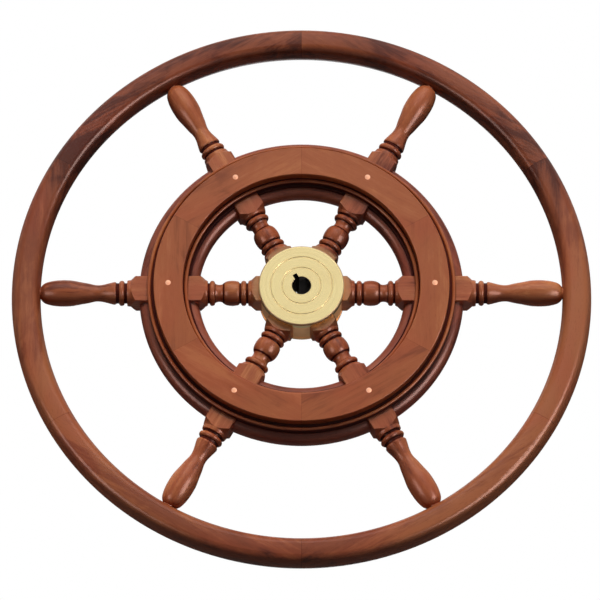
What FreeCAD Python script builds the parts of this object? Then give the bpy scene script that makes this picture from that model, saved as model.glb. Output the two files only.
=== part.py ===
import FreeCAD
import Part

import math
import os

# Six-spoke boat steering wheel in wood and brass. Sizes in mm.
# The wheel is drawn lying in the XY plane with its front toward +Z, and each finished piece is
# turned upright at the end, so that the front looks along -Y and spoke 3 points up and to the left.

V = FreeCAD.Vector

# Rim: a round hoop of six segments, slightly crowned on all four sides
rim_outer_r = 300.0
rim_width = 30.0
rim_thick = 31.0
rim_face_crown_r = 60.0
rim_side_crown_r = 22.0
rim_corner_r = 8.0

# Ring: middle felloes with a rounded nosing on both edges
ring_outer_r = 168.0
ring_width = 61.5
nosing_r = 8.8
nosing_quirk = 4.0
inner_ledge = 2.2

# Facings: flat rings over both faces of the felloes, with a sunk bead along each edge
facing_thick = 15.0
edge_bead_r = 1.8
inner_quirk = 1.3
outer_quirk = 3.2
edge_drop = 9.0
facing_arris = 0.8

# Spokes: turned from square stock, the square left where they pass the hub and the ring
spoke_count = 6
spoke_stock = 28.0
spoke_arris = 0.7
hub_block_out = 2.2
ring_block_in = 1.9
ring_block_out = 2.9
tenon_d = 12.0
tenon_len = 13.0
tenon_relief = 1.0

# Pins: one brass pin through both facings and each spoke, in the middle of the facing
pin_d = 5.6
pin_dome = 0.5

# Hub: a slotted brass body with a back flange and a boss behind it, closed by a front plate
hub_plate_r = 44.25
hub_front_thick = 7.7
hub_back_thick = 5.7
hub_edge_r = 1.6
drum_inset = 0.6
back_boss_d = 44.0
back_boss_len = 9.3
back_boss_edge = 1.5
boss_flat = 19.0
bore_d = 19.05
bore_chamfer = 0.7
keyway_w = 4.8
keyway_top_r = 14.5
keyway_spoke = 3
groove_radii = (20.1, 31.9)
groove_w = 1.5
groove_depth = 0.7

# Hub screws: countersunk from the back, threaded into the front plate
screw_edge = 7.2
screw_d = 4.0
screw_hole_d = 4.5
screw_bite = 5.0
screw_head_d = 8.0
screw_slot_w = 1.0
screw_slot_depth = 0.9

# Turned diameters of a spoke, between its square blocks
shoulder_d = 27.6
bead_d = 26.3
groove_d = 21.2
ball_d = 26.4
cove_d = 17.8
collar_d = 23.4
neck_d = 17.0
grip_d = 27.4

# How far the shoulders are hollowed below a straight slope, and how far a lip falls away
shoulder_hollow = 0.5
lip_fall = 1.4

# A shoulder starts at this share of the half stock, clear of the square's corners
corner_clear = 1.45

# Lengths of the turnings, as shares of the room that each run of them fills
shoulder_len = 5.4
lip_len = 3.0
step_len = 0.2
groove_len = 1.7
bead_len = 5.4
ball_len = 17.4
cove_len = 7.4
collar_len = 2.6

# How much of the room outside the ring the grip takes, with its neck
grip_share = 0.765

# Shape of the neck, as (share of the grip's length, share of the way from neck to collar)
neck_curve = (
    (0.000, 1.000),
    (0.070, 0.600),
    (0.135, 0.210),
    (0.205, 0.000),
)

# Shape of the handle, as (share of the grip's length, share of the way from neck to full grip)
handle_curve = (
    (0.262, 0.056),
    (0.330, 0.290),
    (0.400, 0.477),
    (0.480, 0.692),
    (0.560, 0.906),
    (0.650, 1.000),
    (0.740, 0.979),
    (0.830, 0.840),
    (0.905, 0.584),
)
handle_end_middle = (0.963, 0.155)

# Sizes that follow from those above
sector = 360.0 / spoke_count
half_stock = spoke_stock / 2.0
rim_inner_r = rim_outer_r - rim_width
ring_inner_r = ring_outer_r - ring_width
facing_outer_r = ring_outer_r - nosing_r
facing_inner_r = ring_inner_r + nosing_r + inner_ledge
facing_front = half_stock + facing_thick
flat_inner_r = facing_inner_r + 2.0 * edge_bead_r + inner_quirk
flat_outer_r = facing_outer_r - 2.0 * edge_bead_r - outer_quirk
pin_circle_r = (flat_inner_r + flat_outer_r) / 2.0
hub_front = half_stock + hub_front_thick
hub_back = half_stock + hub_back_thick
bore_back = hub_back + back_boss_len
drum_r = hub_plate_r - drum_inset
screw_circle_r = hub_plate_r - screw_edge
hub_block_end = hub_plate_r + hub_block_out
ring_block_start = ring_inner_r - ring_block_in
ring_block_end = ring_outer_r + ring_block_out
grip_start = rim_inner_r - (rim_inner_r - ring_block_end) * grip_share
# The grip ends where its tenon runs into the hollow curve of the rim's inner wall
tenon_seat = math.sqrt(rim_inner_r ** 2 - (tenon_d / 2.0) ** 2)


def face_from(edges):
    return Part.Face(Part.Wire(Part.__sortEdges__(edges)))


def polyline(points):
    return [Part.makeLine(V(*a), V(*b)) for a, b in zip(points, points[1:])]


def arc(start, middle, end):
    """Arc through three points, which is a straight line where the middle lies on the chord."""
    a, m, b = V(*start), V(*middle), V(*end)
    if (m - a).cross(b - a).Length < 1e-6:
        return Part.makeLine(a, b)
    return Part.Arc(a, m, b).toShape()


def quarter(cx, cz, r, start_deg, end_deg):
    """Arc in the XZ plane about (cx, cz), by its start and end angle."""
    points = []
    for deg in (start_deg, (start_deg + end_deg) / 2.0, end_deg):
        a = math.radians(deg)
        points.append((cx + r * math.cos(a), 0.0, cz + r * math.sin(a)))
    return arc(*points)


def swept_sector(face, start_deg, sweep_deg):
    """The section face turned about the wheel's axis from one angle through another."""
    solid = face.revolve(V(0, 0, 0), V(0, 0, 1), sweep_deg)
    solid.rotate(V(0, 0, 0), V(0, 0, 1), start_deg)
    return solid


def along_axis(r, z0, z1):
    return Part.makeCylinder(r, z1 - z0, V(0, 0, z0))


def at_polar(shape, radius, deg):
    moved = shape.copy()
    moved.translate(V(radius, 0, 0))
    moved.rotate(V(0, 0, 0), V(0, 0, 1), deg)
    return moved


# Rim segments
def rim_section():
    """A rounded section with crowned faces: four long arcs joined by tangent corner arcs."""
    a = rim_width / 2.0
    b = rim_thick / 2.0
    mid_r = rim_outer_r - a
    face_c = b - rim_face_crown_r
    side_c = a - rim_side_crown_r
    reach_face = rim_face_crown_r - rim_corner_r
    reach_side = rim_side_crown_r - rim_corner_r
    # The corner centre lies where the two offset circles cross
    gap = math.hypot(face_c, side_c)
    along = (reach_side ** 2 - reach_face ** 2 + gap ** 2) / (2.0 * gap)
    across = math.sqrt(reach_side ** 2 - along ** 2)
    ux, uz = -side_c / gap, face_c / gap
    corner_x = side_c + along * ux - across * uz
    corner_z = along * uz + across * ux
    face_lean = math.atan2(corner_x, corner_z - face_c)
    side_lean = math.atan2(corner_z, corner_x - side_c)
    face_x = rim_face_crown_r * math.sin(face_lean)
    face_z = face_c + rim_face_crown_r * math.cos(face_lean)
    side_x = side_c + rim_side_crown_r * math.cos(side_lean)
    side_z = rim_side_crown_r * math.sin(side_lean)
    bisect = (math.pi / 2.0 - face_lean + side_lean) / 2.0
    knee_x = corner_x + rim_corner_r * math.cos(bisect)
    knee_z = corner_z + rim_corner_r * math.sin(bisect)
    edges = []
    for sz in (1, -1):
        ends = [(mid_r + sx * face_x, 0, sz * face_z) for sx in (-1, 1)]
        edges.append(arc(ends[0], (mid_r, 0, sz * b), ends[1]))
        for sx in (1, -1):
            edges.append(
                arc(
                    (mid_r + sx * face_x, 0, sz * face_z),
                    (mid_r + sx * knee_x, 0, sz * knee_z),
                    (mid_r + sx * side_x, 0, sz * side_z),
                )
            )
    for sx in (1, -1):
        ends = [(mid_r + sx * side_x, 0, sz * side_z) for sz in (-1, 1)]
        edges.append(arc(ends[0], (mid_r + sx * a, 0, 0), ends[1]))
    return face_from(edges)


def rim_segment():
    hoop = swept_sector(rim_section(), -sector / 2.0, sector)
    socket_start = rim_inner_r - rim_width / 2.0
    socket_len = rim_width / 2.0 + tenon_len + tenon_relief
    socket = Part.makeCylinder(tenon_d / 2.0, socket_len, V(socket_start, 0, 0), V(1, 0, 0))
    return hoop.cut(socket)


# Middle felloes
def felloe_section():
    h = half_stock
    top = h - nosing_quirk
    cz = top - nosing_r
    inner_c = ring_inner_r + nosing_r
    outer_c = ring_outer_r - nosing_r
    edges = []
    edges += polyline([(inner_c, 0, top), (inner_c, 0, h), (outer_c, 0, h), (outer_c, 0, top)])
    edges.append(quarter(outer_c, cz, nosing_r, 90, 0))
    edges += polyline([(ring_outer_r, 0, cz), (ring_outer_r, 0, -cz)])
    edges.append(quarter(outer_c, -cz, nosing_r, 0, -90))
    edges += polyline([(outer_c, 0, -top), (outer_c, 0, -h), (inner_c, 0, -h), (inner_c, 0, -top)])
    edges.append(quarter(inner_c, -cz, nosing_r, 270, 180))
    edges += polyline([(ring_inner_r, 0, -cz), (ring_inner_r, 0, cz)])
    edges.append(quarter(inner_c, cz, nosing_r, 180, 90))
    return face_from(edges)


def felloe():
    """The felloe of the bay that follows the spoke lying along +X."""
    ring = swept_sector(felloe_section(), 0, sector)
    for deg in (0, sector):
        corner = V(0, -half_stock, -spoke_stock)
        passage = Part.makeBox(ring_outer_r * 2.0, spoke_stock, spoke_stock * 2.0, corner)
        passage.rotate(V(0, 0, 0), V(0, 0, 1), deg)
        ring = ring.cut(passage)
    return ring


# Facing segments
def facing_section():
    """Flat face, quirk and edge bead, the same way round on the inner and the outer edge."""
    base = half_stock
    bead_z = facing_front - edge_drop - edge_bead_r
    edges = []
    tops = []
    sides = ((facing_inner_r, flat_inner_r, 1), (facing_outer_r, flat_outer_r, -1))
    for wall, step, inward in sides:
        bead_c = wall + inward * edge_bead_r
        quirk = wall + inward * 2.0 * edge_bead_r
        top = facing_front - facing_arris
        bow = facing_arris * (1.0 - math.sqrt(0.5))
        shoulder = step + inward * facing_arris
        edges += polyline([(wall, 0, base), (wall, 0, bead_z)])
        edges.append(arc((wall, 0, bead_z), (bead_c, 0, bead_z + edge_bead_r), (quirk, 0, bead_z)))
        edges += polyline([(quirk, 0, bead_z), (step, 0, bead_z), (step, 0, top)])
        knee = (step + inward * bow, 0, facing_front - bow)
        edges.append(arc((step, 0, top), knee, (shoulder, 0, facing_front)))
        tops.append(shoulder)
    edges += polyline([(tops[0], 0, facing_front), (tops[1], 0, facing_front)])
    edges += polyline([(facing_inner_r, 0, base), (facing_outer_r, 0, base)])
    return face_from(edges)


def facing_segment():
    ring = swept_sector(facing_section(), -sector / 2.0, sector)
    hole = at_polar(along_axis(pin_d / 2.0, 0, facing_front + pin_d), pin_circle_r, 0)
    return ring.cut(hole)


# Spokes
def inner_turning():
    """Steps from the hub block to the ring block: kind, length, radius at the middle, at the end."""
    shoulder = shoulder_d / 2.0
    bead = bead_d / 2.0
    groove = groove_d / 2.0
    ball = ball_d / 2.0
    cove = cove_d / 2.0
    clear = half_stock * corner_clear
    slope = (shoulder + clear) / 2.0 - shoulder_hollow
    lip = shoulder - lip_fall
    ball_foot = ball * 0.96
    ball_neck = cove * 1.07
    cove_lip = cove + (groove - cove) * 0.75
    return (
        ("arc", shoulder_len, slope, shoulder),
        ("arc", lip_len, shoulder - lip_fall * 0.3, lip),
        ("line", step_len, None, groove),
        ("line", groove_len, None, groove),
        ("arc", bead_len, bead, groove),
        ("line", groove_len * 0.8, None, groove),
        ("arc", ball_len * 0.17, ball * 0.93, ball_foot),
        ("arc", ball_len * 0.53, ball, ball_foot),
        ("arc", ball_len * 0.30, ball * 0.885, ball_neck),
        ("arc", cove_len, cove, cove_lip),
        ("line", step_len, None, groove),
        ("arc", bead_len, bead, groove),
        ("line", groove_len, None, groove),
        ("line", step_len, None, lip),
        ("arc", lip_len * 0.7, shoulder - lip_fall * 0.3, shoulder),
        ("arc", shoulder_len, slope, clear),
    )


def outer_turning():
    """Steps from the ring block to the collar where the grip starts."""
    shoulder = shoulder_d / 2.0
    bead = bead_d / 2.0
    groove = groove_d / 2.0
    collar = collar_d / 2.0
    clear = half_stock * corner_clear
    slope = (shoulder + clear) / 2.0 - shoulder_hollow
    return (
        ("arc", shoulder_len, slope, shoulder),
        ("arc", lip_len * 1.15, shoulder - lip_fall * 0.1, shoulder - lip_fall * 0.4),
        ("line", step_len, None, groove),
        ("line", groove_len * 1.5, None, groove),
        ("arc", bead_len, bead, groove),
        ("line", groove_len * 1.5, None, groove),
        ("arc", collar_len, collar, collar),
    )


def turned_edges(x, r, x_end, steps):
    """Outline edges of the turning steps, spread evenly between two places along the spoke."""
    spread = (x_end - x) / sum(step[1] for step in steps)
    edges = []
    for kind, length, r_mid, r_next in steps:
        x_next = x + length * spread
        if kind == "arc":
            edges.append(arc((x, r, 0), ((x + x_next) / 2.0, r_mid, 0), (x_next, r_next, 0)))
        else:
            edges.append(Part.makeLine(V(x, r, 0), V(x_next, r_next, 0)))
        x, r = x_next, r_next
    return edges


def grip_edges():
    """The grip's outline: a smooth curve to the end of the handle, then the rounding to the tenon."""
    length = rim_inner_r - grip_start
    neck = neck_d / 2.0
    swell = (grip_d - neck_d) / 2.0
    flare = (collar_d - neck_d) / 2.0
    points = [V(grip_start + s * length, neck + t * flare, 0) for s, t in neck_curve]
    points += [V(grip_start + s * length, neck + t * swell, 0) for s, t in handle_curve]
    curve = Part.BSplineCurve()
    curve.interpolate(points)
    s, t = handle_end_middle
    middle = (grip_start + s * length, neck + t * swell, 0)
    end = arc((points[-1].x, points[-1].y, 0), middle, (tenon_seat, tenon_d / 2.0, 0))
    return [curve.toShape(), end]


def spoke_outline():
    """Half outline of the spoke, wider than the stock where the square is left."""
    tip = rim_inner_r + tenon_len
    inner = inner_turning()
    clear = inner[-1][3]
    edges = polyline([(boss_flat, 0, 0), (boss_flat, clear, 0), (hub_block_end, clear, 0)])
    edges += turned_edges(hub_block_end, clear, ring_block_start, inner)
    edges += polyline([(ring_block_start, clear, 0), (ring_block_end, clear, 0)])
    edges += turned_edges(ring_block_end, clear, grip_start, outer_turning())
    edges += grip_edges()
    edges += polyline([(tenon_seat, tenon_d / 2.0, 0), (tip, tenon_d / 2.0, 0), (tip, 0, 0)])
    edges += polyline([(tip, 0, 0), (boss_flat, 0, 0)])
    return face_from(edges)


def square_stock(x0, x1):
    """The squared bar with its four long corners eased."""
    h = half_stock
    e = h - spoke_arris
    corners = [(h, e), (e, h), (-e, h), (-h, e), (-h, -e), (-e, -h), (e, -h), (h, -e), (h, e)]
    section = Part.Face(Part.makePolygon([V(x0, y, z) for y, z in corners]))
    return section.extrude(V(x1 - x0, 0, 0))


def spoke():
    turned = spoke_outline().revolve(V(0, 0, 0), V(1, 0, 0), 360)
    body = turned.common(square_stock(boss_flat, rim_inner_r + tenon_len))
    # The inner end is mitred on both sides, so that the six ends close around the boss
    half_angle = math.radians(sector / 2.0)
    far = rim_outer_r
    side = far * math.tan(half_angle)
    low = -spoke_stock
    wedge = Part.makePolygon([V(0, 0, low), V(far, side, low), V(far, -side, low), V(0, 0, low)])
    body = body.common(Part.Face(wedge).extrude(V(0, 0, 2.0 * spoke_stock)))
    hole = at_polar(along_axis(pin_d / 2.0, -spoke_stock, spoke_stock), pin_circle_r, 0)
    return body.cut(hole)


# Pins
def ring_pin():
    """A straight pin with a low dome on both ends."""
    r = pin_d / 2.0
    edges = polyline([(0, 0, -facing_front - pin_dome), (0, 0, facing_front + pin_dome)])
    dome_r = (r ** 2 + pin_dome ** 2) / (2.0 * pin_dome)
    lean = math.asin(r / dome_r) / 2.0
    mid_x = dome_r * math.sin(lean)
    mid_z = facing_front + pin_dome - dome_r * (1.0 - math.cos(lean))
    for s in (1, -1):
        crown = (0, 0, s * (facing_front + pin_dome))
        edges.append(arc(crown, (mid_x, 0, s * mid_z), (r, 0, s * facing_front)))
    edges += polyline([(r, 0, facing_front), (r, 0, -facing_front)])
    return face_from(edges).revolve(V(0, 0, 0), V(0, 0, 1), 360)


# Hub
def bore_tool():
    """The shaft bore with its keyway, and a chamfer at both mouths."""
    r = bore_d / 2.0
    reach = bore_back * 2.0
    tool = along_axis(r, -reach, reach)
    key = Part.makeBox(keyway_top_r, keyway_w, 2.0 * reach, V(0, -keyway_w / 2.0, -reach))
    key.rotate(V(0, 0, 0), V(0, 0, 1), sector * (keyway_spoke - 1))
    tool = tool.fuse(key)
    wide = 2.0 * bore_chamfer
    for s, face in ((1, hub_front), (-1, bore_back)):
        mouth = Part.makeCone(r, r + wide, wide, V(0, 0, s * (face - bore_chamfer)), V(0, 0, s))
        tool = tool.fuse(mouth)
    return tool


def screw_angles():
    return [sector * (k + 0.5) for k in range(spoke_count)]


def plate(r, z_inner, z_outer, e):
    """A round plate with the rim of its outer face rounded over by the radius e."""
    s = 1 if z_outer > z_inner else -1
    bow = e * (1.0 - math.sqrt(0.5))
    edges = polyline([(0, 0, z_inner), (r, 0, z_inner), (r, 0, z_outer - s * e)])
    knee = (r - bow, 0, z_outer - s * bow)
    edges.append(arc((r, 0, z_outer - s * e), knee, (r - e, 0, z_outer)))
    edges += polyline([(r - e, 0, z_outer), (0, 0, z_outer), (0, 0, z_inner)])
    return face_from(edges).revolve(V(0, 0, 0), V(0, 0, 1), 360)


def screw_tool(d, z0, z1):
    """One screw hole, with the seat of its countersunk head in the back face."""
    head = (screw_head_d - screw_d) / 2.0
    hole = along_axis(d / 2.0, z0, z1)
    seat = Part.makeCone(screw_head_d / 2.0, screw_d / 2.0, head, V(0, 0, -hub_back))
    mouth = along_axis(screw_head_d / 2.0, -hub_back - head, -hub_back)
    return hole.fuse([seat, mouth])


def hub_body():
    drum = along_axis(drum_r, -half_stock, half_stock)
    for k in range(spoke_count):
        corner = V(boss_flat, -half_stock, -spoke_stock)
        slot = Part.makeBox(hub_plate_r * 2.0, spoke_stock, spoke_stock * 2.0, corner)
        slot.rotate(V(0, 0, 0), V(0, 0, 1), sector * k)
        drum = drum.cut(slot)
    flange = plate(hub_plate_r, -half_stock, -hub_back, hub_edge_r)
    boss = plate(back_boss_d / 2.0, -half_stock, -bore_back, back_boss_edge)
    body = drum.fuse([flange, boss]).removeSplitter()
    body = body.cut(bore_tool())
    hole = screw_tool(screw_hole_d, -hub_back, half_stock)
    for deg in screw_angles():
        body = body.cut(at_polar(hole, screw_circle_r, deg))
    return body


def hub_front_plate():
    body = plate(hub_plate_r, half_stock, hub_front, hub_edge_r)
    for r in groove_radii:
        w = groove_w / 2.0
        vee = Part.Face(
            Part.makePolygon(
                [
                    V(r, 0, hub_front - groove_depth),
                    V(r + 2.0 * w, 0, hub_front + groove_depth),
                    V(r - 2.0 * w, 0, hub_front + groove_depth),
                    V(r, 0, hub_front - groove_depth),
                ]
            )
        )
        body = body.cut(vee.revolve(V(0, 0, 0), V(0, 0, 1), 360))
    body = body.cut(bore_tool())
    hole = along_axis(screw_d / 2.0, 0, half_stock + screw_bite)
    for deg in screw_angles():
        body = body.cut(at_polar(hole, screw_circle_r, deg))
    return body


def hub_screw():
    """A slotted countersunk screw."""
    head = (screw_head_d - screw_d) / 2.0
    body = along_axis(screw_d / 2.0, -hub_back, half_stock + screw_bite)
    cone = Part.makeCone(screw_head_d / 2.0, screw_d / 2.0, head, V(0, 0, -hub_back))
    body = body.fuse(cone).removeSplitter()
    corner = V(-screw_head_d, -screw_slot_w / 2.0, -hub_back - screw_slot_depth)
    slot = Part.makeBox(screw_head_d * 2.0, screw_slot_w, screw_slot_depth * 2.0, corner)
    return body.cut(slot)


# Finished pieces, by name
def turned_to(shape, deg):
    moved = shape.copy()
    moved.rotate(V(0, 0, 0), V(0, 0, 1), deg)
    return moved


def all_pieces():
    pieces = {}
    one_spoke = spoke()
    one_felloe = felloe()
    one_facing = facing_segment()
    one_backing = one_facing.mirror(V(0, 0, 0), V(0, 0, 1))
    one_rim = rim_segment()
    for k in range(spoke_count):
        deg = sector * k
        pieces["spoke_%d" % (k + 1)] = turned_to(one_spoke, deg)
        pieces["felloe_%d" % (k + 1)] = turned_to(one_felloe, deg)
        pieces["facing_front_%d" % (k + 1)] = turned_to(one_facing, deg)
        pieces["facing_back_%d" % (k + 1)] = turned_to(one_backing, deg)
        pieces["rim_segment_%d" % (k + 1)] = turned_to(one_rim, deg)
    pin = ring_pin()
    pins = [at_polar(pin, pin_circle_r, sector * k) for k in range(spoke_count)]
    pieces["ring_pins"] = Part.makeCompound(pins)
    pieces["hub_body"] = hub_body()
    pieces["hub_front_plate"] = hub_front_plate()
    screw = hub_screw()
    screws = [at_polar(screw, screw_circle_r, deg) for deg in screw_angles()]
    pieces["hub_screws"] = Part.makeCompound(screws)
    return pieces


os.makedirs("parts", exist_ok=True)
for name, shape in all_pieces().items():
    shape.rotate(V(0, 0, 0), V(1, 0, 0), 90)
    shape.exportStep("parts/" + name + ".step")
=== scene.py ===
# %% [markdown]
# # A boat steering wheel in varnished mahogany, with a brass hub
#
# The wheel hangs upright in a plain studio and is seen from below its axle. Its shapes were cut
# and turned in CAD, and every wooden piece is there as a solid of its own, as a wheelwright would
# glue them up. This lesson gives those pieces what CAD can't: the grain of each plank running
# its own way, the varnish over it, the turned brass, and the light of a studio.

# %% Load the finished solids
import math

import bpy
from mathutils import Euler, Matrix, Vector


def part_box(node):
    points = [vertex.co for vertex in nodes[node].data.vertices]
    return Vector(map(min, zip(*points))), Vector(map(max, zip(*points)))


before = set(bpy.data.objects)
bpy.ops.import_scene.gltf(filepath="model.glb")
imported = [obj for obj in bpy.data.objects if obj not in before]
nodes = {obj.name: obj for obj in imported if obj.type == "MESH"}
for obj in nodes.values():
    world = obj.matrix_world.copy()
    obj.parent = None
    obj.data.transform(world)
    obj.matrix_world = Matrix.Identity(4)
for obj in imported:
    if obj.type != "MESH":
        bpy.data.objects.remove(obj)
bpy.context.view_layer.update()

# %% [markdown]
# ## The camera
#
# The photograph was taken from straight in front and well below the axle, so the hoop is a little
# flattened and its inner wall shows at the top. A long lens from far away keeps the hoop's near
# and far parts the same size. Tilting the camera slightly off the hub places the wheel in the
# frame, which a lens shift could do as well, but a tilt also holds for every other view.

# %% Place the camera
IMAGE_SIDE = 600
BELOW_AXLE = math.radians(22.66)
DISTANCE = 4.66
LENS = 270.0
SENSOR = 36.0
# How far right of the picture's middle the hub is, and how far above it, in pixels
HUB_OFF_CENTRE = (1.5, 6.6)

line_of_sight = Vector((0.0, math.cos(BELOW_AXLE), math.sin(BELOW_AXLE)))
camera_up = Vector((0.0, -math.sin(BELOW_AXLE), math.cos(BELOW_AXLE)))
metres_per_pixel = DISTANCE * SENSOR / LENS / IMAGE_SIDE

camera_data = bpy.data.cameras.new("camera")
camera_data.lens = LENS
camera_data.sensor_width = SENSOR
camera = bpy.data.objects.new("camera", camera_data)
camera.location = -line_of_sight * DISTANCE
aim = -Vector((1.0, 0.0, 0.0)) * HUB_OFF_CENTRE[0] * metres_per_pixel
aim -= camera_up * HUB_OFF_CENTRE[1] * metres_per_pixel
camera.rotation_euler = (aim - camera.location).to_track_quat("-Z", "Y").to_euler()
bpy.context.scene.collection.objects.link(camera)
bpy.context.scene.camera = camera
print("one pixel at the hub is %.2f mm" % (metres_per_pixel * 1000.0))

# %% [markdown]
# ## Helpers for shader nodes
#
# A finish is a tree of nodes, and wiring one node by hand takes five lines. A few helpers make the
# usual ones: a sum, a place split into its three numbers, and a mask that rises smoothly between
# two values. A colour ramp could make such a mask as well, but a map range node takes its limits
# as plain numbers, which can have names. Where the first limit is the higher one, the mask rises
# as the value falls.


# %% Helpers for shader nodes
def link(tree, source, target):
    tree.links.new(source, target)


def feed(tree, socket, value):
    """Give a socket a plain number or colour, or link another node's output to it."""
    if isinstance(value, (int, float, tuple)):
        socket.default_value = value
    else:
        link(tree, value, socket)


def math_node(tree, operation, *values):
    node = tree.nodes.new("ShaderNodeMath")
    node.operation = operation
    for socket, value in zip(node.inputs, values):
        feed(tree, socket, value)
    return node.outputs[0]


def ramp_value(tree, value, low, high, out_low=0.0, out_high=1.0):
    node = tree.nodes.new("ShaderNodeMapRange")
    node.interpolation_type = "SMOOTHSTEP"
    node.inputs["From Min"].default_value = low
    node.inputs["From Max"].default_value = high
    node.inputs["To Min"].default_value = out_low
    node.inputs["To Max"].default_value = out_high
    link(tree, value, node.inputs["Value"])
    return node.outputs[0]


def split_xyz(tree, place):
    node = tree.nodes.new("ShaderNodeSeparateXYZ")
    link(tree, place, node.inputs[0])
    return node.outputs["X"], node.outputs["Y"], node.outputs["Z"]


print("helpers:", ", ".join(f.__name__ for f in (link, feed, math_node, ramp_value, split_xyz)))

# %% [markdown]
# ## The studio
#
# A product photograph on white needs a bright backdrop that the camera sees, but not that much
# light from every side, or the wood goes flat. The world is asked which kind of ray is looking:
# the camera sees white, gloss sees a white ceiling that fades to a dim floor, and the wood itself
# is only lit dimly by it. The shape then comes from the lamps.

# %% Build the world
WHITE = (1.0, 1.0, 1.0, 1.0)
CEILING_TINT = (1.0, 0.98, 0.96, 1.0)
FILL_TINT = (1.0, 0.97, 0.94, 1.0)
# From one height on the sky to another, and the strength at each
GLOSS_RAMP = (0.00, 0.85, 0.05, 0.94)
FILL_RAMP = (0.00, 0.95, 0.028, 0.48)
# For gloss, the sky in front of the wheel counts as this much higher
GLOSS_LEAN = 0.30


def sky(tree, color, strength):
    node = tree.nodes.new("ShaderNodeBackground")
    node.inputs["Color"].default_value = color
    feed(tree, node.inputs["Strength"], strength)
    return node.outputs[0]


def choose_sky(tree, asked, when_not, when_so):
    node = tree.nodes.new("ShaderNodeMixShader")
    for socket, source in zip(node.inputs, (asked, when_not, when_so)):
        link(tree, source, socket)
    return node.outputs[0]


def make_world():
    world = bpy.data.worlds.new("studio")
    world.use_nodes = True
    tree = world.node_tree
    tree.nodes.clear()
    coords = tree.nodes.new("ShaderNodeTexCoord")
    _, back, up = split_xyz(tree, coords.outputs["Generated"])
    up_front = math_node(tree, "MULTIPLY_ADD", back, -GLOSS_LEAN, up)
    seen = sky(tree, WHITE, 1.0)
    mirrored = sky(tree, CEILING_TINT, ramp_value(tree, up_front, *GLOSS_RAMP))
    dim = sky(tree, FILL_TINT, ramp_value(tree, up, *FILL_RAMP))
    ray = tree.nodes.new("ShaderNodeLightPath")
    glossy, through = ray.outputs["Is Glossy Ray"], ray.outputs["Is Transmission Ray"]
    lit_or_gloss = choose_sky(tree, math_node(tree, "MAXIMUM", glossy, through), dim, mirrored)
    all_rays = choose_sky(tree, ray.outputs["Is Camera Ray"], lit_or_gloss, seen)
    out = tree.nodes.new("ShaderNodeOutputWorld")
    link(tree, all_rays, out.inputs["Surface"])
    return world


bpy.context.scene.world = make_world()
bpy.context.scene.view_settings.view_transform = "Standard"
print("world: white for the camera, %.2f to %.2f for lighting" % FILL_RAMP[2:])

# %% [markdown]
# The floor is a pale sheet of paper. Only the camera sees how pale it is: to every other ray it is
# a darker sheet, or its bounce would fill the shadows under the hoop. Away from the lamps such a
# sheet would look grey, so a weak glow, which only the camera sees, lifts it. More lamps could do
# that too, but they would light the wheel as well.

# %% Paint for the floor
PALE_FLOOR = (0.82, 0.81, 0.79, 1.0)
DARK_FLOOR = (0.10, 0.08, 0.07, 1.0)
FLOOR_ROUGHNESS = 0.9
FLOOR_GLOSS = 0.1
# How much of the pale colour gloss sees, and how much light the camera sees the floor give
MIRRORED_FLOOR = 0.30
FLOOR_GLOW = 0.22


def mix_color(tree, factor, a, b, blend="MIX"):
    node = tree.nodes.new("ShaderNodeMix")
    node.data_type = "RGBA"
    node.blend_type = blend
    for socket, value in ((node.inputs[0], factor), (node.inputs[6], a), (node.inputs[7], b)):
        feed(tree, socket, value)
    return node.outputs[2]


def new_material(name):
    material = bpy.data.materials.new(name)
    material.use_nodes = True
    tree = material.node_tree
    return material, tree, tree.nodes["Principled BSDF"]


def floor_paint():
    paint, tree, shader = new_material("pale_floor")
    ray = tree.nodes.new("ShaderNodeLightPath")
    mirrored = math_node(tree, "MULTIPLY", ray.outputs["Is Glossy Ray"], MIRRORED_FLOOR)
    pale = math_node(tree, "MAXIMUM", ray.outputs["Is Camera Ray"], mirrored)
    link(tree, mix_color(tree, pale, DARK_FLOOR, PALE_FLOOR), shader.inputs["Base Color"])
    shader.inputs["Roughness"].default_value = FLOOR_ROUGHNESS
    shader.inputs["Specular IOR Level"].default_value = FLOOR_GLOSS
    shader.inputs["Emission Color"].default_value = PALE_FLOOR
    glow = math_node(tree, "MULTIPLY", ray.outputs["Is Camera Ray"], FLOOR_GLOW)
    link(tree, glow, shader.inputs["Emission Strength"])
    print("paint:", paint.name, "with", len(tree.nodes), "nodes")
    return paint


pale_paint = floor_paint()

# %% [markdown]
# The sheet is one large flat face, far enough below the wheel that the camera looks over it from
# where the photograph was taken, and it catches the wheel's shadow in the views from above.

# %% Lay the floor
FLOOR_HEIGHT = -2.3
FLOOR_SIDE = 24.0

half = FLOOR_SIDE / 2.0
outline = ((-half, -half), (half, -half), (half, half), (-half, half))
sheet = bpy.data.meshes.new("floor")
sheet.from_pydata([(x, y, FLOOR_HEIGHT) for x, y in outline], [], [(0, 1, 2, 3)])
sheet.materials.append(pale_paint)
floor = bpy.data.objects.new("floor", sheet)
bpy.context.scene.collection.objects.link(floor)
print("floor: %.0f m square, %.1f m below the axle" % (FLOOR_SIDE, -FLOOR_HEIGHT))

# %% [markdown]
# Large area lamps close to the object give soft light. The key hangs in front and above, so that
# every edge of the ring throws a short shadow down. One high behind keeps the back from going
# black, and a weak one at each side does that for the hoop's outer wall. A photographer of
# varnished work puts a polarizer on such lamps, so that they light the wood and leave no glare
# on it. Here a lamp is made invisible to gloss, which does the same.


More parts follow.
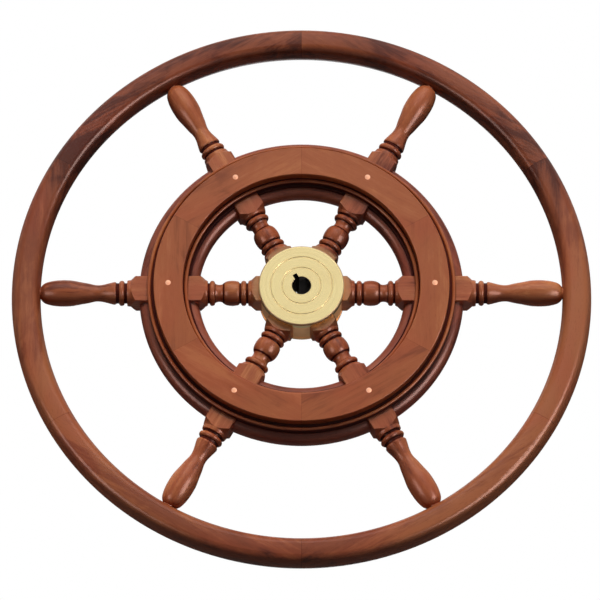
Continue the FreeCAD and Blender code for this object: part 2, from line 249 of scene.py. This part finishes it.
# %% Hang the lamps
def soft_box(name, direction, distance, width, height, watts, color=(1.0, 1.0, 1.0)):
    """An area lamp that stands in a direction from the wheel's middle and faces it."""
    data = bpy.data.lights.new(name, "AREA")
    data.shape = "RECTANGLE"
    data.size = width
    data.size_y = height
    data.energy = watts
    data.color = color
    box = bpy.data.objects.new(name, data)
    box.location = Vector(direction).normalized() * distance
    box.rotation_euler = (-box.location).to_track_quat("-Z", "Y").to_euler()
    bpy.context.scene.collection.objects.link(box)
    print("%s: %.0f W at %s" % (name, watts, [round(c, 2) for c in box.location]))
    return box


def lamp(*placing):
    """A soft box that lights the surfaces and leaves no glare on them."""
    soft_box(*placing).visible_glossy = False


# Direction from the wheel, distance, width and height in metres, and watts
lamp("key_box", (0.06, -0.79, 0.61), 4.8, 3.4, 2.4, 228.0)
lamp("back_box", (-0.25, 0.58, 0.78), 3.2, 2.2, 1.6, 74.0)
lamp("left_fill", (-1.0, 0.10, 0.12), 2.8, 1.6, 1.6, 15.0)
lamp("right_fill", (1.0, 0.10, 0.12), 2.8, 1.6, 1.6, 15.0)

# %% [markdown]
# The photographer then stands pale cards where a highlight should be. Each card here is a soft box
# that only gloss sees: a wide one hangs above, two warm ones stand low at the sides and draw the
# bright line along the hoop, and a narrow one stands behind for the brass there.


# %% Stand the cards
def card(*placing):
    """A soft box that is only there to be mirrored."""
    soft_box(*placing).visible_diffuse = False


WARM = (1.0, 0.78, 0.70)
card("top_card", (0.06, -0.58, 0.81), 4.8, 4.6, 2.8, 60.0)
card("left_card", (-0.68, -0.68, -0.27), 2.4, 1.2, 1.1, 36.0, WARM)
card("right_card", (0.70, -0.67, -0.22), 2.4, 1.3, 1.4, 96.0, WARM)
card("back_card", (0.0, 0.99, 0.10), 3.4, 0.9, 1.3, 8.0)

# %% [markdown]
# ## Mahogany
#
# Mahogany is a warm red-brown with a straight, slightly wavy grain. Close to, it has short dark
# pores, fine fibres, and broad soft bands that change tone along the plank. A picture of wood
# could be wrapped round each piece, but it would stretch over the turnings and repeat. So each of
# these is noise, squeezed across the grain and stretched along it. Because the noise fills space,
# a turned piece cuts through it as a real blank is cut, and shows curved figure where it swells.
#
# One node group holds the grain for every wooden piece, and each piece gives it its own direction
# and its own place in the plank. A group is a tree of nodes that is used as one node, and its
# sockets are made on its interface.


# %% Helpers for node groups
def new_group(name, inputs, outputs):
    group = bpy.data.node_groups.new(name, "ShaderNodeTree")
    for way, sockets in (("INPUT", inputs), ("OUTPUT", outputs)):
        for label, kind in sockets:
            group.interface.new_socket(label, in_out=way, socket_type=kind)
    inside = group.nodes.new("NodeGroupInput")
    outside = group.nodes.new("NodeGroupOutput")
    print("group %s puts out %s" % (name, ", ".join(label for label, kind in outputs)))
    return group, inside, outside


def stretched_noise(tree, place, along, across, detail, roughness=0.55, distortion=0.0):
    """Noise with so many waves a metre along the grain (X) and across it (Y and Z)."""
    squeeze = tree.nodes.new("ShaderNodeVectorMath")
    squeeze.operation = "MULTIPLY"
    squeeze.inputs[1].default_value = (along, across, across)
    link(tree, place, squeeze.inputs[0])
    noise = tree.nodes.new("ShaderNodeTexNoise")
    noise.inputs["Scale"].default_value = 1.0
    noise.inputs["Detail"].default_value = detail
    noise.inputs["Roughness"].default_value = roughness
    noise.inputs["Distortion"].default_value = distortion
    link(tree, squeeze.outputs[0], noise.inputs["Vector"])
    return noise.outputs["Fac"]


# %% [markdown]
# The layers of noise add up to one tone, and the tone picks between three colours: the body of the
# wood where it is 0, and darker or lighter wood to each side of that. Noise averages a half, so
# half of what all the layers may add is taken off again.

# %% The layers of the grain
# Waves a metre along the grain and across it, then detail, roughness and distortion
BANDS = (5.0, 34.0, 3.0, 0.5, 0.4)
STREAKS = (11.0, 190.0, 4.0, 0.6, 0.3)
BLOTCHES = (28.0, 60.0, 3.0, 0.6, 0.8)
FIBRES = (60.0, 1150.0, 3.0, 0.6)
PORES = (170.0, 2300.0, 1.0, 0.5)
REDNESS = (9.0, 22.0, 2.0)
# What bands, streaks, blotches and fibres may add to the tone
WEIGHTS = (1.30, 0.85, 0.70, 0.35)


def add_up(tree, tone, layers):
    for layer, weight in zip(layers, WEIGHTS):
        tone = math_node(tree, "MULTIPLY_ADD", layer, weight, tone)
    return math_node(tree, "SUBTRACT", tone, sum(WEIGHTS) / 2.0)


print("the finest pores are %.1f mm apart" % (1000.0 / PORES[1]))

# %% [markdown]
# Some of the wood is redder than the rest, and the pores are darker. Near the hub the wood is
# painted paler, and where the stain mask is full it is nearly black: the mask holds real stain at
# the glue lines and painted shade in the turned grooves and sunk edges. Both come to the group as
# masks, because only the material of a piece knows where they are on it.

# %% The colour of the grain
# How far from 0 the tone is that gives the darkest and the lightest wood
TONE_REACH = 0.42
RED_RAMP = (0.42, 0.66, 0.0, 0.55)
RED_TINT = (1.0, 0.74, 0.78, 1.0)
PORE_DARKNESS = 0.40
# The wood painted paler near the hub
PALER_WOOD = ((0.33, 0.160, 0.072, 1.0), (0.44, 0.245, 0.115, 1.0))
# The tint of real stain at the glue lines and of painted shade in the grooves and sunk edges
STAIN_AND_SHADE_TINT = (0.16, 0.06, 0.05, 1.0)


def wood_color(tree, place, tone, pores, inside):
    dark, body, light = (inside.outputs[label] for label in ("Dark", "Body", "Light"))
    darker = ramp_value(tree, tone, -TONE_REACH, 0.0, 1.0, 0.0)
    lighter = ramp_value(tree, tone, 0.0, TONE_REACH)
    color = mix_color(tree, darker, body, dark)
    color = mix_color(tree, lighter, color, light)
    redder = ramp_value(tree, stretched_noise(tree, place, *REDNESS), *RED_RAMP)
    color = mix_color(tree, redder, color, RED_TINT, "MULTIPLY")
    color = mix_color(tree, math_node(tree, "MULTIPLY", pores, PORE_DARKNESS), color, dark)
    # Near the hub the wood is painted paler
    painted = mix_color(tree, lighter, *PALER_WOOD)
    color = mix_color(tree, inside.outputs["PaleHub"], color, painted)
    # The stain mask darkens real stain at the glue lines and painted shade in the grooves and sunk
    # edges
    return mix_color(tree, inside.outputs["Stain"], color, STAIN_AND_SHADE_TINT, "MULTIPLY")


print("stain takes %.0f per cent of the red and more of the rest" % (100.0 - 100.0 * STAIN_AND_SHADE_TINT[0]))

# %% [markdown]
# The group takes a place in the plank, with X along the grain, and the colours, tone and masks of
# one piece. It gives back the wood's colour, its roughness, and a height that rises with the
# fibres and sinks at the pores.

# %% The grain as a node group
# Only the tips of the finest noise are pores
PORE_RAMP = (0.62, 0.74)
WOOD_ROUGHNESS = 0.45
GRAIN_ROUGHNESS = 0.10
MEAN_HEIGHT = 0.5
FIBRE_RISE = 0.35
PORE_SINK = -0.5


def make_grain():
    vectors = [(label, "NodeSocketVector") for label in ("Place", "Shift")]
    numbers = [(label, "NodeSocketFloat") for label in ("Stain", "PaleHub", "Tone")]
    colors = [(label, "NodeSocketColor") for label in ("Dark", "Body", "Light")]
    results = [("Color", "NodeSocketColor")]
    results += [(label, "NodeSocketFloat") for label in ("Roughness", "Height")]
    group, inside, outside = new_group("mahogany_grain", vectors + numbers + colors, results)
    shifted = group.nodes.new("ShaderNodeVectorMath")
    link(group, inside.outputs["Place"], shifted.inputs[0])
    link(group, inside.outputs["Shift"], shifted.inputs[1])
    place = shifted.outputs[0]
    layers = [stretched_noise(group, place, *kind) for kind in (BANDS, STREAKS, BLOTCHES, FIBRES)]
    fibres = layers[-1]
    pores = ramp_value(group, stretched_noise(group, place, *PORES), *PORE_RAMP)
    tone = add_up(group, inside.outputs["Tone"], layers)
    link(group, wood_color(group, place, tone, pores, inside), outside.inputs["Color"])
    rough = math_node(group, "MULTIPLY_ADD", fibres, GRAIN_ROUGHNESS, WOOD_ROUGHNESS)
    rough = math_node(group, "MULTIPLY_ADD", pores, GRAIN_ROUGHNESS, rough)
    link(group, rough, outside.inputs["Roughness"])
    height = math_node(group, "MULTIPLY_ADD", fibres, FIBRE_RISE, MEAN_HEIGHT)
    height = math_node(group, "MULTIPLY_ADD", pores, PORE_SINK, height)
    link(group, height, outside.inputs["Height"])
    return group


grain_group = make_grain()
print("grain group has", len(grain_group.nodes), "nodes")

# %% [markdown]
# Over the wood lies varnish, rubbed down to a soft gloss. The wood's own gloss could be turned
# up, but it would follow the rough grain, and varnish lies smooth over it. So the gloss comes
# from the shader's clear coat, which is thinner under the stain mask: at the glue lines, and in the
# painted shade of the grooves and sunk edges. The fibres and pores are at most a tenth of a
# millimetre deep, so they are a bump and not geometry.

# %% Varnish
VARNISH = 0.36
VARNISH_ROUGHNESS = 0.25
VARNISH_IOR = 1.5
# How much of the varnish's gloss a full stain mask takes away, over stain and painted shade alike
STAIN_AND_SHADE_LOSS = 0.9
# The wood under the varnish has almost no gloss of its own
WOOD_GLOSS = 0.06
BUMP_STRENGTH = 0.15
BUMP_DEPTH = 0.0001


def fine_bump(tree, shader, height):
    bump = tree.nodes.new("ShaderNodeBump")
    bump.inputs["Strength"].default_value = BUMP_STRENGTH
    bump.inputs["Distance"].default_value = BUMP_DEPTH
    link(tree, height, bump.inputs["Height"])
    link(tree, bump.outputs[0], shader.inputs["Normal"])


def varnish(tree, shader, stain_and_shade_mask):
    """Lay the clear coat on, thinner under the stain and the painted shade."""
    coat = math_node(tree, "MULTIPLY_ADD", stain_and_shade_mask, -STAIN_AND_SHADE_LOSS * VARNISH, VARNISH)
    link(tree, coat, shader.inputs["Coat Weight"])
    shader.inputs["Coat Roughness"].default_value = VARNISH_ROUGHNESS
    shader.inputs["Coat IOR"].default_value = VARNISH_IOR
    shader.inputs["Specular IOR Level"].default_value = WOOD_GLOSS


coat_over_stain_and_shade = VARNISH * (1.0 - STAIN_AND_SHADE_LOSS)
print("coat weight of the varnish: %.2f, over stain %.3f" % (VARNISH, coat_over_stain_and_shade))

# %% [markdown]
# Each plank gets its own material, because its grain has its own direction: the group's X axis
# is turned to lie along it in the wheel's plane. A different shift for each piece takes the wood
# from a different part of the tree, and its tone may be darker at one end than at the other.

# %% A varnished plank
# How far apart in the tree two planks with neighbouring numbers are, in metres
PLANK_STEP = (0.91, 0.37, 1.13)


def place_group(tree, group):
    node = tree.nodes.new("ShaderNodeGroup")
    node.node_tree = group
    return node


def along_grain(tree, grain_deg):
    """The place on a piece, turned so that X runs along its grain."""
    coords = tree.nodes.new("ShaderNodeTexCoord")
    turn = tree.nodes.new("ShaderNodeMapping")
    turn.vector_type = "POINT"
    turn.inputs["Rotation"].default_value = Euler((0.0, math.radians(grain_deg), 0.0))
    link(tree, coords.outputs["Object"], turn.inputs["Vector"])
    return turn.outputs[0]


def mahogany(name, grain_deg, plank, colors, stain_and_shade, paler=None, tone=0.0, lean=0.0):
    material, tree, shader = new_material(name)
    place = along_grain(tree, grain_deg)
    grain = place_group(tree, grain_group)
    link(tree, place, grain.inputs["Place"])
    grain.inputs["Shift"].default_value = [step * plank for step in PLANK_STEP]
    for label, color in zip(("Dark", "Body", "Light"), colors):
        grain.inputs[label].default_value = color
    along = split_xyz(tree, place)[0]
    link(tree, math_node(tree, "MULTIPLY_ADD", along, lean, tone), grain.inputs["Tone"])
    stain_and_shade_mask = stain_and_shade(tree, place)
    link(tree, stain_and_shade_mask, grain.inputs["Stain"])
    if paler:
        link(tree, paler(tree, place), grain.inputs["PaleHub"])
    link(tree, grain.outputs["Color"], shader.inputs["Base Color"])
    link(tree, grain.outputs["Roughness"], shader.inputs["Roughness"])
    fine_bump(tree, shader, grain.outputs["Height"])
    varnish(tree, shader, stain_and_shade_mask)
    return material


print("planks are cut %.2f m apart along the tree" % PLANK_STEP[0])

# %% [markdown]
# The hoop and the ring are glued up from segments, and the joint shows as a hair of darker stain.
# It could be a gap in the mesh, but the real joint is tight, so it is only a mask: the distance
# from the plane in which a segment ends, half a bay to either side of its middle. The piece
# lies with its outside toward -Z once X is turned along its grain.

# %% The glue lines
SPOKES = 6
# The distances from the joint at which its stain starts and is full, in metres
GLUE_FADE = (0.0004, 0.00016)


def glue_line(strength):
    """Stain at both ends of a segment, up to a strength."""
    half_bay = math.radians(180.0 / SPOKES)

    def build(tree, place):
        x, _, z = split_xyz(tree, place)
        outward = math_node(tree, "MULTIPLY", z, -math.sin(half_bay))
        from_middle = math_node(tree, "ABSOLUTE", x)
        gap = math_node(tree, "MULTIPLY_ADD", from_middle, -math.cos(half_bay), outward)
        return math_node(tree, "MULTIPLY", ramp_value(tree, gap, *GLUE_FADE), strength)

    return build


print("a glue line is at most %.1f mm wide on each segment" % (GLUE_FADE[0] * 1000.0))

# %% [markdown]
# Shade is painted into the sunk edges: the quirk beside the facings' beads, and the step between
# the felloes' nosing and the facings. Both lie at a known distance from the wheel's middle plane,
# so a range of that distance finds them on every segment alike, which is surer than a mask from
# the shape's own corners. The stain of the glue lines is added to it.

# %% Painted shade in the sunk edges
# Distances from the wheel's middle plane, in metres
QUIRK_FLOOR = 0.0182
NOSING_TOP = 0.0100


def sunk_shade_and_glue(start, full, glue=0.5):
    """Painted shade from one distance off the wheel's middle plane to another, and stain at the
    glue lines.
    """

    def build(tree, place):
        from_middle = math_node(tree, "ABSOLUTE", split_xyz(tree, place)[1])
        sunk = ramp_value(tree, from_middle, start, full)
        return math_node(tree, "MAXIMUM", sunk, glue_line(glue)(tree, place))

    return build


facing_shade_and_glue = sunk_shade_and_glue(QUIRK_FLOOR + 0.0006, QUIRK_FLOOR, glue=0.3)
felloe_shade_and_glue = sunk_shade_and_glue(NOSING_TOP - 0.0002, NOSING_TOP + 0.0004)
# Nearer the middle plane than this, the facings get painted shade
print("the facings are stained below %.1f mm from the middle" % (QUIRK_FLOOR * 1000.0))

# %% [markdown]
# On a spoke, shade is painted into the narrow turned grooves. All of them are cut to one radius,
# so the mask is a thin range of radii around it. The neck of the grip passes through the same
# radius, so the mask ends before it.

# %% Painted shade in the turned grooves
GROOVE_R = 0.0106
# The radii at which the painted shade starts and is full, above the groove's floor and below it
BEAD_SIDE = (GROOVE_R + 0.0011, GROOVE_R + 0.0003)
NECK_SIDE = (GROOVE_R - 0.0009, GROOVE_R - 0.0004)
# The distances from the axle at which it starts and is full, because the neck lies further out
NECK_FADE = (0.195, 0.194)


def all_of(tree, *masks):
    """Where every mask holds: their product."""
    product = masks[0]
    for mask in masks[1:]:
        product = math_node(tree, "MULTIPLY", product, mask)
    return product


def from_axis(tree, a, b):
    """The distance from an axis, out of the two numbers across it."""
    squares = math_node(tree, "MULTIPLY_ADD", a, a, math_node(tree, "MULTIPLY", b, b))
    return math_node(tree, "SQRT", squares)


# Painted shade in the turned grooves
def in_turned_grooves(tree, place):
    x, y, z = split_xyz(tree, place)
    radius = from_axis(tree, z, y)
    below_beads = ramp_value(tree, radius, *BEAD_SIDE)
    above_neck = ramp_value(tree, radius, *NECK_SIDE)
    return all_of(tree, below_beads, above_neck, ramp_value(tree, x, *NECK_FADE))


print("grooves are cut to a radius of %.1f mm" % (GROOVE_R * 1000.0))

# %% [markdown]
# The squared ends of the spokes beside the brass are painted paler, which also lifts the shade
# that the plate casts on the lower ones. Noise makes the edge of the pale place ragged.

# %% Wood painted paler beside the brass
# Distances from the axle at which the paler wood starts and is full
PALER_FADE = (0.0543, 0.0498)
PALER_SHARE = 0.85
RAGGED_NOISE = (260.0, 420.0, 2.0)
RAGGED_EDGE = 0.004


# The squared spoke ends beside the brass, painted paler
def paler_by_hub(tree, place):
    ragged = stretched_noise(tree, place, *RAGGED_NOISE)
    edge = math_node(tree, "MULTIPLY_ADD", ragged, RAGGED_EDGE, split_xyz(tree, place)[0])
    return math_node(tree, "MULTIPLY", ramp_value(tree, edge, *PALER_FADE), PALER_SHARE)


print("rubbed bare to about %.0f mm from the axle" % (PALER_FADE[1] * 1000.0))

# %% [markdown]
# The hoop is sawn from six boards, each square to its spoke, so its grain runs along the chord.
# The boards aren't alike: some are darker than others, and some are darker at one end, as on the
# real wheel. Two colours and a mix could do that too, but one tone that leans along the board
# keeps all the layers of its grain.

# %% Dress the hoop
# Dark, body and light wood, from here on
RIM = ((0.070, 0.014, 0.006, 1.0), (0.210, 0.051, 0.019, 1.0), (0.335, 0.102, 0.037, 1.0))
# The tone of each segment, and how much it changes in a metre along it
RIM_TONES = ((0.38, -5.0), (-0.10, 0.6), (-0.24, -1.0), (0.20, 3.0), (0.14, -2.0), (0.28, 1.6))
# The number of the first plank for each kind of piece
RIM_PLANK = 1


def chord_deg(k):
    """The direction of a board that lies square to a spoke."""
    return 360.0 / SPOKES * k + 90.0


def dress(node, material):
    piece = nodes[node]
    piece.data.materials.clear()
    piece.data.materials.append(material)
    print("dressed", node, "in", material.name)


for k in range(SPOKES):
    name = "rim_wood_%d" % (k + 1)
    tone, lean = RIM_TONES[k]
    plank = RIM_PLANK + k
    wood = mahogany(name, chord_deg(k), plank, RIM, glue_line(0.5), tone=tone, lean=lean)
    dress("rim_segment_%d" % (k + 1), wood)

# %% [markdown]
# The facings, in front and behind, are the ring's show wood: evener and more orange than the
# hoop. The felloes between them fill the bays, half way between two spokes, and are of darker
# wood. All lie with the grain along the chord, like the hoop.

# %% Dress the ring
FACING = ((0.200, 0.048, 0.016, 1.0), (0.318, 0.084, 0.026, 1.0), (0.395, 0.124, 0.040, 1.0))
FELLOE = ((0.090, 0.019, 0.011, 1.0), (0.220, 0.055, 0.029, 1.0), (0.310, 0.094, 0.046, 1.0))
FACING_PLANKS = {"front": 11, "back": 21}
FELLOE_PLANK = 31

for k in range(SPOKES):
    for side, first_plank in FACING_PLANKS.items():
        name = "facing_%s_%d" % (side, k + 1)
        wood = mahogany(name + "_wood", chord_deg(k), first_plank + k, FACING, facing_shade_and_glue)
        dress(name, wood)
    name = "felloe_wood_%d" % (k + 1)
    wood = mahogany(name, chord_deg(k + 0.5), FELLOE_PLANK + k, FELLOE, felloe_shade_and_glue)
    dress("felloe_%d" % (k + 1), wood)

# %% [markdown]
# A spoke's grain runs along it, from hub to rim, as it has to for strength. Most are a little
# darker at the hub than at the grip. Each spoke has a tone of its own, and the two lower ones are
# set lighter and the two upper ones darker, which is painted light that offsets the shade on the
# lower spokes and the light on the upper ones.

# %% Dress the spokes
SPOKE = ((0.120, 0.026, 0.012, 1.0), (0.330, 0.092, 0.034, 1.0), (0.480, 0.175, 0.064, 1.0))
# The tone of each spoke, and how much it changes in a metre along it
# Spokes 5 and 6, below, are set lighter and spokes 2 and 3, above, darker: painted light
SPOKE_TONES = ((-0.24, 1.4), (-0.42, 2.2), (-0.26, 1.5), (-0.04, -0.4), (0.04, 0.2), (-0.08, 1.1))
SPOKE_PLANK = 41

for k in range(SPOKES):
    name = "spoke_wood_%d" % (k + 1)
    looks = (SPOKE_PLANK + k, SPOKE, in_turned_grooves, paler_by_hub, *SPOKE_TONES[k])
    dress("spoke_%d" % (k + 1), mahogany(name, 360.0 / SPOKES * k, *looks))
print("wood materials:", len([m for m in bpy.data.materials if "wood" in m.name]))

# %% [markdown]
# ## Brass
#
# The hub plate was faced in a lathe and left unpolished: its tool marks are rings around the
# bore, too fine to see one by one, and they spread each reflection. Brushed metal could be made
# with the shader's anisotropy, but rings of noise in the distance from the axle also show as a
# faint bump, and they go round the bore by themselves. A few broader rings are worn more than
# the rest, and soft clouds of tarnish lie over all.

# %% Rings and clouds
# Waves a metre out from the axle, and detail
TOOL_RINGS = (2600.0, 3.0)
WORN_RINGS = (420.0, 2.0)
WORN_RAMP = (0.46, 0.62, 0.0, 0.55)
CLOUD_WAVES = 45.0
CLOUD_DETAIL = 4.0
CLOUD_RAMP = (0.45, 0.75)


def ring_noise(tree, radius, waves, detail):
    node = tree.nodes.new("ShaderNodeTexNoise")
    node.noise_dimensions = "1D"
    node.inputs["Scale"].default_value = 1.0
    node.inputs["Detail"].default_value = detail
    link(tree, math_node(tree, "MULTIPLY", radius, waves), node.inputs["W"])
    return node.outputs["Fac"]


def clouds(tree, position):
    node = tree.nodes.new("ShaderNodeTexNoise")
    node.inputs["Scale"].default_value = CLOUD_WAVES
    node.inputs["Detail"].default_value = CLOUD_DETAIL
    link(tree, position, node.inputs["Vector"])
    return node.outputs["Fac"]


print("tool marks are %.1f mm apart" % (1000.0 / TOOL_RINGS[0]))

# %% [markdown]
# On the plate's rounded edge a browner, duller band is painted as shade, in place of the edge's
# reflection, and its two turned grooves are painted pale, as light that hides their dark
# reflections. The bore and its keyway are painted nearly black, as shade. They could be painted by
# hand, but all three follow from the distance to the axle and the depth behind the front face.
# The plate's radius and the hub's two faces are measured on the solids.

# %% Painted shade and light on the brass
KEYWAY_R = 0.0149
PLATE_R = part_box("hub_front_plate")[1].x
EDGE_R = 0.0016
HUB_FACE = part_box("hub_front_plate")[0].y
HUB_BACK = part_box("hub_body")[1].y
# How far past the keyway's corner the bore's painted shade ends, in metres
BORE_SHADE_END = 0.0004
# How far below a face the bore's painted shade and a groove's painted light start and are full
BORE_SHADE_FADE = (0.0001, 0.0005)
GROOVE_LIGHT_FADE = (0.00006, 0.0003)


# Painted shade in the bore and its keyway
def bore_painted_shade(tree, radius, y):
    near_axle = ramp_value(tree, radius, KEYWAY_R + BORE_SHADE_END, KEYWAY_R)
    behind_face = ramp_value(tree, y, *(HUB_FACE + depth for depth in BORE_SHADE_FADE))
    before_back = ramp_value(tree, y, *(HUB_BACK - depth for depth in BORE_SHADE_FADE))
    return all_of(tree, near_axle, behind_face, before_back)


# Painted shade on the plate's rounded edge, in place of its reflection
def edge_painted_shade(tree, radius, y):
    near_edge = ramp_value(tree, radius, PLATE_R - EDGE_R, PLATE_R - 0.6 * EDGE_R)
    not_beyond = ramp_value(tree, radius, PLATE_R + 2.0 * EDGE_R, PLATE_R + EDGE_R)
    at_face = ramp_value(tree, y, HUB_FACE + 2.2 * EDGE_R, HUB_FACE + 1.2 * EDGE_R)
    return all_of(tree, near_edge, not_beyond, at_face)


# Painted light in the plate's two grooves, which hides their dark reflections
def groove_painted_light(tree, radius, y):
    on_face = ramp_value(tree, radius, PLATE_R - EDGE_R, PLATE_R - 2.0 * EDGE_R)
    below_face = ramp_value(tree, y, *(HUB_FACE + depth for depth in GROOVE_LIGHT_FADE))
    in_plate = ramp_value(tree, y, HUB_FACE + 2.0 * EDGE_R, HUB_FACE + EDGE_R)
    return all_of(tree, below_face, in_plate, on_face)


print("plate radius %.1f mm, face at %.1f mm" % (PLATE_R * 1000.0, HUB_FACE * 1000.0))

# %% [markdown]
# The group takes the place on the brass and gives back its roughness, the height of its tool marks,
# the tarnish, and a mask for each place where shade or light is painted on the metal. The colours
# stay outside, in the material.

# %% The turning marks as a node group
METAL_ROUGHNESS = 0.18
RING_ROUGHNESS = 0.08
CLOUD_ROUGHNESS = 0.06


def make_turning():
    labels = ("Roughness", "Height", "Tarnish", "BoreShade", "Edge", "Groove")
    results = [(label, "NodeSocketFloat") for label in labels]
    places = [("Position", "NodeSocketVector")]
    group, inside, outside = new_group("turning_marks", places, results)
    position = inside.outputs["Position"]
    x, y, z = split_xyz(group, position)
    radius = from_axis(group, z, x)
    rings = ring_noise(group, radius, *TOOL_RINGS)
    cloud = clouds(group, position)
    rough = math_node(group, "MULTIPLY_ADD", rings, RING_ROUGHNESS, METAL_ROUGHNESS)
    rough = math_node(group, "MULTIPLY_ADD", cloud, CLOUD_ROUGHNESS, rough)
    worn = ramp_value(group, ring_noise(group, radius, *WORN_RINGS), *WORN_RAMP)
    tarnish = math_node(group, "MAXIMUM", ramp_value(group, cloud, *CLOUD_RAMP), worn)
    bore_shade = bore_painted_shade(group, radius, y)
    edge = edge_painted_shade(group, radius, y)
    groove = groove_painted_light(group, radius, y)
    for label, value in zip(labels, (rough, rings, tarnish, bore_shade, edge, groove)):
        link(group, value, outside.inputs[label])
    return group


turning_group = make_turning()
print("turning group has", len(turning_group.nodes), "nodes")

# %% [markdown]
# Where shade is painted on the edge and light in the grooves, the shader's metallic value falls
# and the painted colour shows. The bore's painted shade is only a nearly black colour on the
# metal. Tarnish is too thin for that and only tints the metal.

# %% A brass finish
# The bore's painted shade, then the edge's painted shade and the grooves' painted light
BORE_SHADE_COLOR = (0.012, 0.006, 0.004, 1.0)
EDGE_SHADE_COLOR = (0.42, 0.28, 0.13, 1.0)
GROOVE_LIGHT_COLOR = (0.76, 0.64, 0.33, 1.0)
TARNISH_SHARE = 0.35
# How much rougher the painted edge and grooves are than the metal, and how much of the metal they
# hide
PAINTED_ROUGHNESS = 0.2
PAINTED_COVER = 0.94


def brass(name, color, tarnished, dullness=0.0):
    material, tree, shader = new_material(name)
    coords = tree.nodes.new("ShaderNodeTexCoord")
    turning = place_group(tree, turning_group)
    link(tree, coords.outputs["Object"], turning.inputs["Position"])
    marks = turning.outputs
    tarnish = math_node(tree, "MULTIPLY", marks["Tarnish"], TARNISH_SHARE)
    shade = mix_color(tree, tarnish, color, tarnished)
    # Painted shade on the edge, painted light in the grooves, painted shade in the bore
    for label, layer in (("Edge", EDGE_SHADE_COLOR), ("Groove", GROOVE_LIGHT_COLOR), ("BoreShade", BORE_SHADE_COLOR)):
        shade = mix_color(tree, marks[label], shade, layer)
    link(tree, shade, shader.inputs["Base Color"])
    painted_layer = math_node(tree, "MAXIMUM", marks["Edge"], marks["Groove"])
    duller = math_node(tree, "MULTIPLY_ADD", painted_layer, PAINTED_ROUGHNESS, dullness)
    link(tree, math_node(tree, "ADD", marks["Roughness"], duller), shader.inputs["Roughness"])
    metal = math_node(tree, "MULTIPLY_ADD", painted_layer, -PAINTED_COVER, 1.0)
    link(tree, metal, shader.inputs["Metallic"])
    fine_bump(tree, shader, marks["Height"])
    return material


print("a film hides %.0f per cent of the metal" % (100.0 * PAINTED_COVER))

# %% [markdown]
# The plate is pale, yellow and bright. The body behind it was cast, so it is darker, browner and
# duller. The ring's pins look coppery against the wood. The screws at the back aren't in the
# photograph, and get the finish of the pins.

# %% Dress the brass pieces
PLATE_BRASS = (0.92, 0.78, 0.40, 1.0)
OLD_PLATE = (0.74, 0.57, 0.27, 1.0)
CAST_BRASS = (0.80, 0.52, 0.27, 1.0)
OLD_CAST = (0.60, 0.36, 0.18, 1.0)
PIN_BRASS = (0.68, 0.37, 0.24, 1.0)
OLD_PIN = (0.56, 0.30, 0.18, 1.0)

dress("hub_front_plate", brass("plate_brass", PLATE_BRASS, OLD_PLATE))
dress("hub_body", brass("cast_brass", CAST_BRASS, OLD_CAST, dullness=0.26))
fitting_brass = brass("fitting_brass", PIN_BRASS, OLD_PIN, dullness=0.24)
dress("ring_pins", fitting_brass)
dress("hub_screws", fitting_brass)
